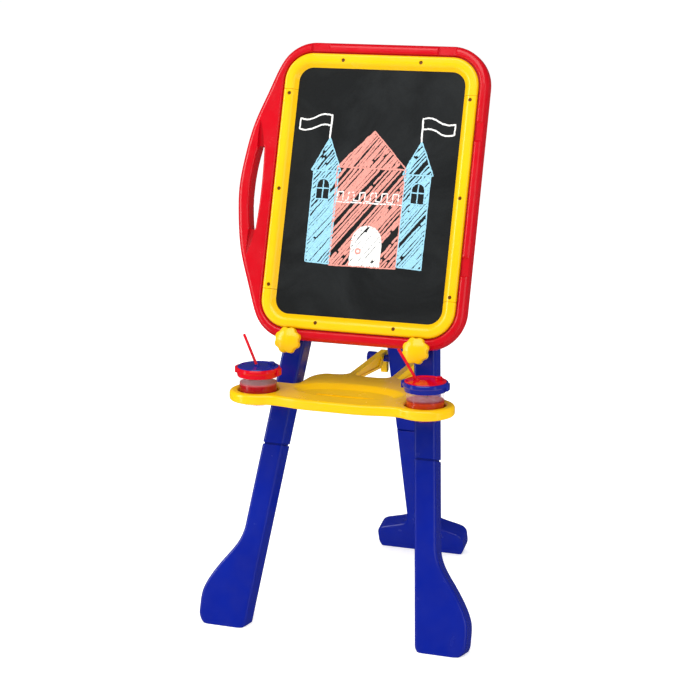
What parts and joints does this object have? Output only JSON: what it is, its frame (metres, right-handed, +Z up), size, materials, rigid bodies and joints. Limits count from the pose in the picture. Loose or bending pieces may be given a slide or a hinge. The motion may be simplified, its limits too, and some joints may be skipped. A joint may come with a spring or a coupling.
{
  "type": "kids easel",
  "caption": "Child's standing easel with a framed chalkboard and drawing board, splayed front legs, a folding rear leg, a bracing tray, lidded paint cups and brushes.",
  "frame": {"origin": "on the floor at the middle of the easel's bounding box, below the tray", "axes": "+X to the easel's right seen from the front, +Y to the back where the rear leg stands, +Z up"},
  "size_m": [0.5064, 0.5658, 1.0265],
  "materials": {
    "yellow_plastic": "gloss",
    "red_plastic": "gloss",
    "blue_plastic": "gloss",
    "zinc_steel": "satin",
    "black_screws": "satin",
    "chalkboard_slate": "matte",
    "white_drawing_board": "gloss",
    "fibreboard_core": "matte",
    "clear_plastic": "gloss",
    "cup_red": "gloss",
    "cup_blue": "gloss",
    "red_paint": "gloss",
    "orange_paint": "gloss",
    "brush_red": "gloss",
    "ferrule_metal": "satin",
    "bristle": "matte"
  },
  "bodies": {
    "front_legs": {"upper_leg_left": "blue_plastic", "upper_leg_right": "blue_plastic", "lower_leg_left": "blue_plastic", "lower_leg_right": "blue_plastic", "hinge_yoke": "blue_plastic", "yoke_screws": "zinc_steel", "hinge_pin": "zinc_steel", "tray_pivot_pins": "zinc_steel", "knob_nuts": "zinc_steel"},
    "rear_leg": {"rear_leg_upper": "blue_plastic", "rear_leg_lower": "blue_plastic", "brace_bar": "blue_plastic", "brace_caps": "blue_plastic"},
    "board": {"board_frame_front": "red_plastic", "board_frame_back": "red_plastic", "board_core": "fibreboard_core", "chalkboard": "chalkboard_slate", "whiteboard": "white_drawing_board", "bezel_front_top": "yellow_plastic", "bezel_front_bottom": "yellow_plastic", "bezel_front_left": "yellow_plastic", "bezel_front_right": "yellow_plastic", "bezel_back_top": "yellow_plastic", "bezel_back_bottom": "yellow_plastic", "bezel_back_left": "yellow_plastic", "bezel_back_right": "yellow_plastic", "bezel_screws_front": "black_screws", "bezel_screws_back": "black_screws"},
    "tray": {"tray": "yellow_plastic"},
    "knob_left": {"knob_left": "yellow_plastic", "knob_bolt_left": "zinc_steel"},
    "cup_left": {"cup_body_left": "clear_plastic", "cup_collar_left": "cup_red", "paint_left": "red_paint"},
    "lid_left": {"cup_lid_left": "cup_blue"},
    "stopper_left": {"cup_stopper_left": "cup_blue"},
    "brush_left": {"brush_handle_left": "brush_red", "brush_ferrule_left": "ferrule_metal", "brush_bristles_left": "bristle"},
    "knob_right": {"knob_right": "yellow_plastic", "knob_bolt_right": "zinc_steel"},
    "cup_right": {"cup_body_right": "clear_plastic", "cup_collar_right": "cup_blue", "paint_right": "orange_paint"},
    "lid_right": {"cup_lid_right": "cup_red"},
    "stopper_right": {"cup_stopper_right": "cup_red"},
    "brush_right": {"brush_handle_right": "brush_red", "brush_ferrule_right": "ferrule_metal", "brush_bristles_right": "bristle"}
  },
  "joints": [
    {"name": "rear_leg_fold", "type": "hinge", "parent": "front_legs", "child": "rear_leg", "pos_m": [0, 0.01856, 0.72342], "axis": [-1, 0, 0], "range_deg": [0, 36]},
    {"name": "tray_tilt", "type": "hinge", "parent": "front_legs", "child": "tray", "pos_m": [0, -0.13831, 0.39216], "axis": [1, 0, 0], "range_deg": [0, 54]},
    {"name": "board_lift", "type": "slide", "parent": "front_legs", "child": "board", "axis": [0, 0.3007, 0.9537], "range_m": [0, 0.1]},
    {"name": "knob_left_turn", "type": "hinge", "parent": "front_legs", "child": "knob_left", "pos_m": [-0.1208, -0.16363, 0.51139], "axis": [0, -0.9537, 0.3007], "continuous": true},
    {"name": "cup_left_lift", "type": "slide", "parent": "tray", "child": "cup_left", "axis": [0, 0, 1], "range_m": [0, 0.08]},
    {"name": "lid_left_off", "type": "slide", "parent": "cup_left", "child": "lid_left", "axis": [0, 0, 1], "range_m": [0, 0.06]},
    {"name": "brush_left_pull", "type": "slide", "parent": "lid_left", "child": "brush_left", "axis": [-0.3979, 0, 0.9174], "range_m": [0, 0.1]},
    {"name": "stopper_left_pull", "type": "slide", "parent": "lid_left", "child": "stopper_left", "axis": [0, 0, 1], "range_m": [0, 0.02]},
    {"name": "knob_right_turn", "type": "hinge", "parent": "front_legs", "child": "knob_right", "pos_m": [0.1208, -0.16363, 0.51139], "axis": [0, -0.9537, 0.3007], "continuous": true},
    {"name": "cup_right_lift", "type": "slide", "parent": "tray", "child": "cup_right", "axis": [0, 0, 1], "range_m": [0, 0.08]},
    {"name": "lid_right_off", "type": "slide", "parent": "cup_right", "child": "lid_right", "axis": [0, 0, 1], "range_m": [0, 0.06]},
    {"name": "brush_right_pull", "type": "slide", "parent": "lid_right", "child": "brush_right", "axis": [-0.5372, 0, 0.8435], "range_m": [0, 0.1]},
    {"name": "stopper_right_pull", "type": "slide", "parent": "lid_right", "child": "stopper_right", "axis": [0, 0, 1], "range_m": [0, 0.02]}
  ],
  "couplings": [
    {"joint": "tray_tilt", "follows": "rear_leg_fold", "ratio": 1.5}
  ]
}
